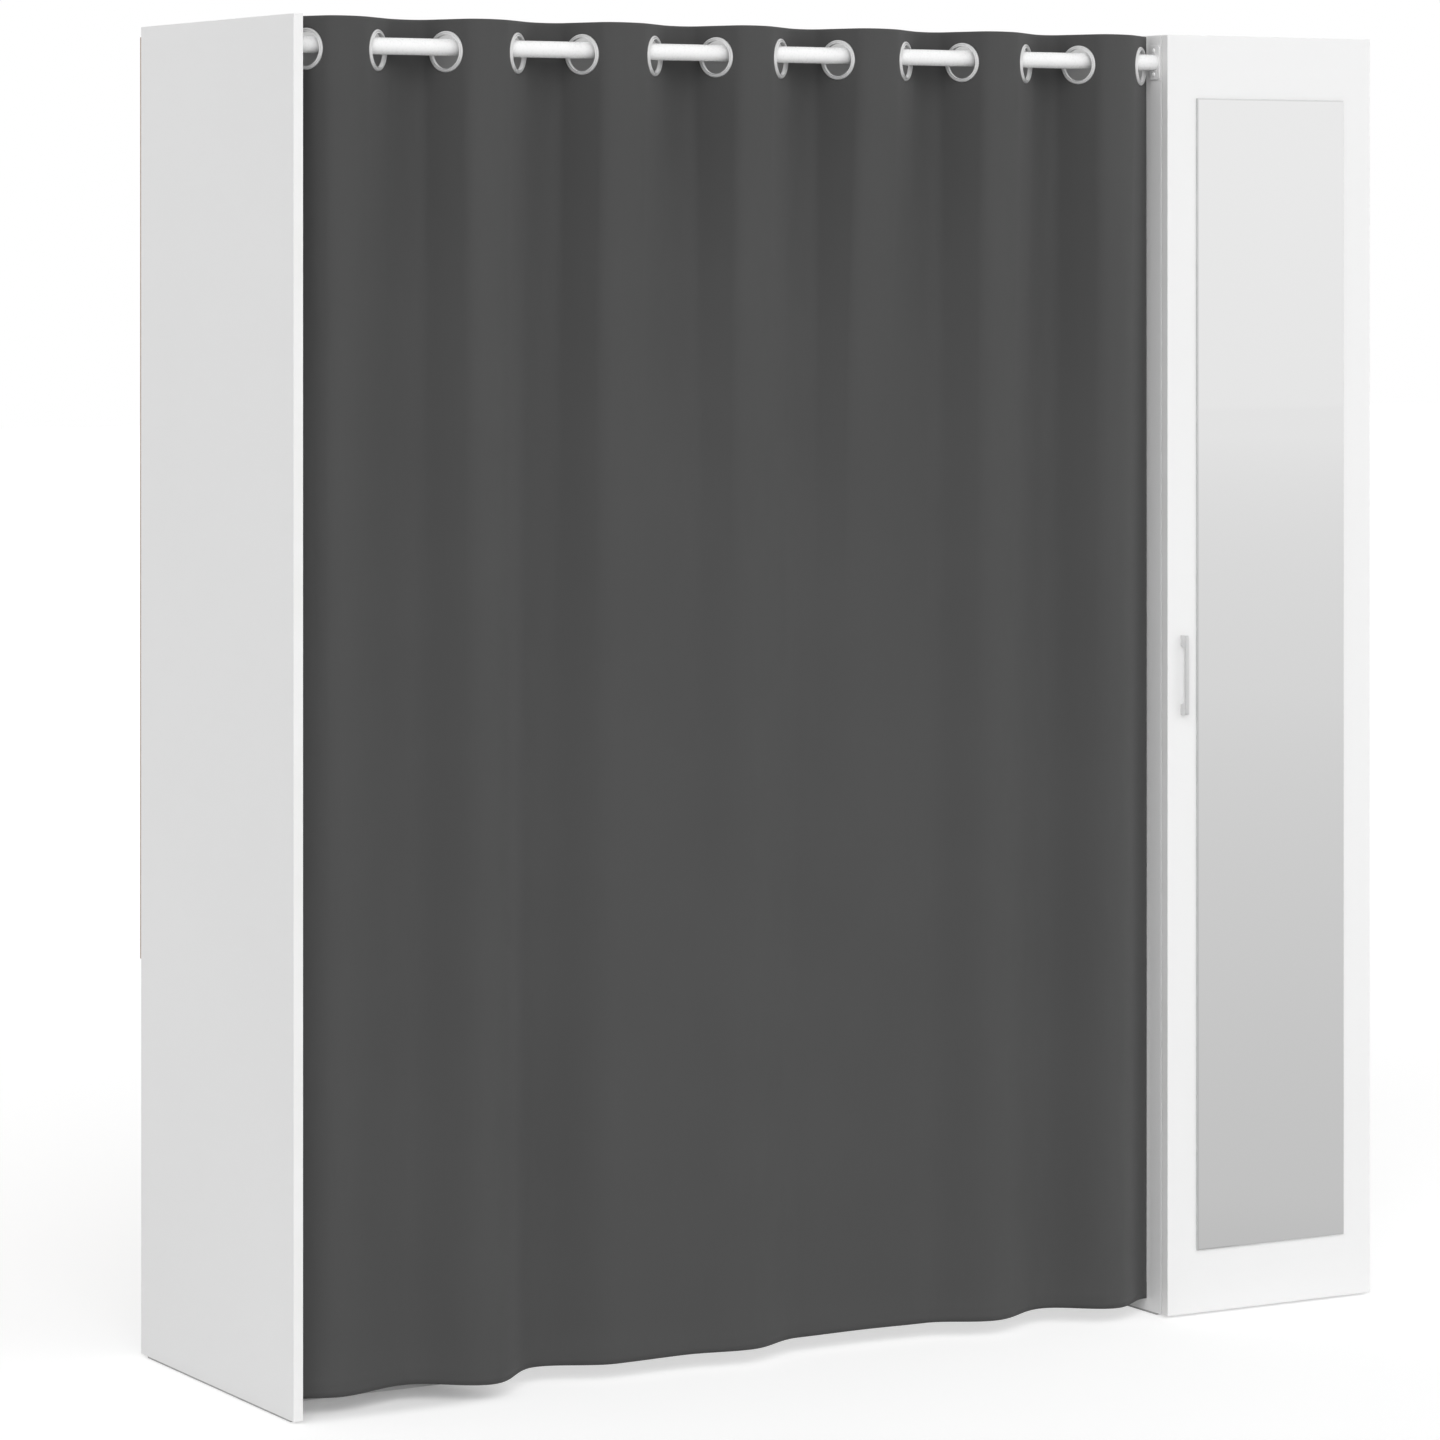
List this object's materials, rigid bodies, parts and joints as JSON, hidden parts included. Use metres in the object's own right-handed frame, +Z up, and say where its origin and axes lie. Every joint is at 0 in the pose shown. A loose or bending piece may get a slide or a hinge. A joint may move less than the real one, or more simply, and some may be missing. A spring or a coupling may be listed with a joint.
{
  "type": "curtain wardrobe",
  "caption": "Free-standing wardrobe: white side panel and shelf column, mirror-door cabinet, and a grey curtain on metal eyelets sliding along a rod across the hanging bay.",
  "frame": {"origin": "on the floor, under the middle of the outer box", "axes": "+X to the mirror cabinet, +Y from the curtain to the wall, +Z up"},
  "size_m": [1.917, 0.5648, 2.03],
  "materials": {
    "board": "satin white melamine",
    "hardboard": "matt hardboard",
    "skid": "matt",
    "mirror": "polished",
    "handle": "satin",
    "hinge": "nickel plated",
    "rod": "gloss white",
    "hanging_rod": "bright",
    "eyelet": "satin",
    "screw": "bright zinc",
    "cloth": "plain weave, matt"
  },
  "bodies": {
    "root": {"left_side_panel": "board", "column_partition": "board", "column_plinth": "board", "column_bottom_shelf": "board", "column_fixed_shelf": "board", "top_board": "board", "back_panel": "hardboard", "column_shelf_1": "board", "column_shelf_2": "board", "cabinet_left_side": "board", "cabinet_right_side": "board", "cabinet_plinth": "board", "cabinet_bottom": "board", "cabinet_fixed_shelf": "board", "cabinet_top": "board", "cabinet_back": "hardboard", "cabinet_shelf_1": "board", "cabinet_shelf_2": "board", "cabinet_shelf_3": "board", "cabinet_shelf_4": "board", "left_panel_skid": "skid", "partition_skid": "skid", "cabinet_left_skid": "skid", "cabinet_right_skid": "skid", "hinge_arm_1": "hinge", "hinge_arm_2": "hinge", "hinge_arm_3": "hinge", "hinge_arm_4": "hinge", "curtain_rod": "rod", "rod_flange_left": "rod", "rod_flange_right": "rod", "hanging_rod": "hanging_rod", "hanging_flange_left": "rod", "hanging_flange_right": "rod", "rod_screw_left_1": "screw", "rod_screw_left_2": "screw", "rod_screw_right_1": "screw", "rod_screw_right_2": "screw", "eyelet_01": "eyelet", "curtain": "cloth"},
    "door": {"mirror_door": "board", "door_mirror": "mirror", "door_handle": "handle", "hinge_cup_1": "hinge", "hinge_cup_2": "hinge", "hinge_cup_3": "hinge", "hinge_cup_4": "hinge"},
    "ring_02": {"eyelet_02": "eyelet"},
    "ring_03": {"eyelet_03": "eyelet"},
    "ring_04": {"eyelet_04": "eyelet"},
    "ring_05": {"eyelet_05": "eyelet"},
    "ring_06": {"eyelet_06": "eyelet"},
    "ring_07": {"eyelet_07": "eyelet"},
    "ring_08": {"eyelet_08": "eyelet"},
    "ring_09": {"eyelet_09": "eyelet"},
    "ring_10": {"eyelet_10": "eyelet"},
    "ring_11": {"eyelet_11": "eyelet"},
    "ring_12": {"eyelet_12": "eyelet"},
    "ring_13": {"eyelet_13": "eyelet"},
    "ring_14": {"eyelet_14": "eyelet"}
  },
  "joints": [
    {"name": "door_swing", "type": "hinge", "parent": "root", "child": "door", "pos_m": [0.9521, -0.2609, 1.017], "axis": [0, 0, 1], "range_deg": [0, 95]},
    {"name": "curtain_draw", "type": "slide", "parent": "root", "child": "ring_14", "axis": [-1, 0, 0], "range_m": [0, 0.80047], "deforming": ["curtain"]},
    {"name": "ring_02_slide", "type": "slide", "parent": "root", "child": "ring_02", "axis": [-1, 0, 0], "range_m": [0, 0.0628]},
    {"name": "ring_03_slide", "type": "slide", "parent": "root", "child": "ring_03", "axis": [-1, 0, 0], "range_m": [0, 0.12468]},
    {"name": "ring_04_slide", "type": "slide", "parent": "root", "child": "ring_04", "axis": [-1, 0, 0], "range_m": [0, 0.18928]},
    {"name": "ring_05_slide", "type": "slide", "parent": "root", "child": "ring_05", "axis": [-1, 0, 0], "range_m": [0, 0.24925]},
    {"name": "ring_06_slide", "type": "slide", "parent": "root", "child": "ring_06", "axis": [-1, 0, 0], "range_m": [0, 0.31668]},
    {"name": "ring_07_slide", "type": "slide", "parent": "root", "child": "ring_07", "axis": [-1, 0, 0], "range_m": [0, 0.37565]},
    {"name": "ring_08_slide", "type": "slide", "parent": "root", "child": "ring_08", "axis": [-1, 0, 0], "range_m": [0, 0.43728]},
    {"name": "ring_09_slide", "type": "slide", "parent": "root", "child": "ring_09", "axis": [-1, 0, 0], "range_m": [0, 0.49385]},
    {"name": "ring_10_slide", "type": "slide", "parent": "root", "child": "ring_10", "axis": [-1, 0, 0], "range_m": [0, 0.5602]},
    {"name": "ring_11_slide", "type": "slide", "parent": "root", "child": "ring_11", "axis": [-1, 0, 0], "range_m": [0, 0.61735]},
    {"name": "ring_12_slide", "type": "slide", "parent": "root", "child": "ring_12", "axis": [-1, 0, 0], "range_m": [0, 0.68146]},
    {"name": "ring_13_slide", "type": "slide", "parent": "root", "child": "ring_13", "axis": [-1, 0, 0], "range_m": [0, 0.73638]}
  ],
  "couplings": [
    {"joint": "ring_02_slide", "follows": "curtain_draw", "ratio": 0.078332},
    {"joint": "ring_03_slide", "follows": "curtain_draw", "ratio": 0.15563},
    {"joint": "ring_04_slide", "follows": "curtain_draw", "ratio": 0.23634},
    {"joint": "ring_05_slide", "follows": "curtain_draw", "ratio": 0.31126},
    {"joint": "ring_06_slide", "follows": "curtain_draw", "ratio": 0.39549},
    {"joint": "ring_07_slide", "follows": "curtain_draw", "ratio": 0.46916},
    {"joint": "ring_08_slide", "follows": "curtain_draw", "ratio": 0.54615},
    {"joint": "ring_09_slide", "follows": "curtain_draw", "ratio": 0.61682},
    {"joint": "ring_10_slide", "follows": "curtain_draw", "ratio": 0.69971},
    {"joint": "ring_11_slide", "follows": "curtain_draw", "ratio": 0.77111},
    {"joint": "ring_12_slide", "follows": "curtain_draw", "ratio": 0.8512},
    {"joint": "ring_13_slide", "follows": "curtain_draw", "ratio": 0.9198}
  ]
}
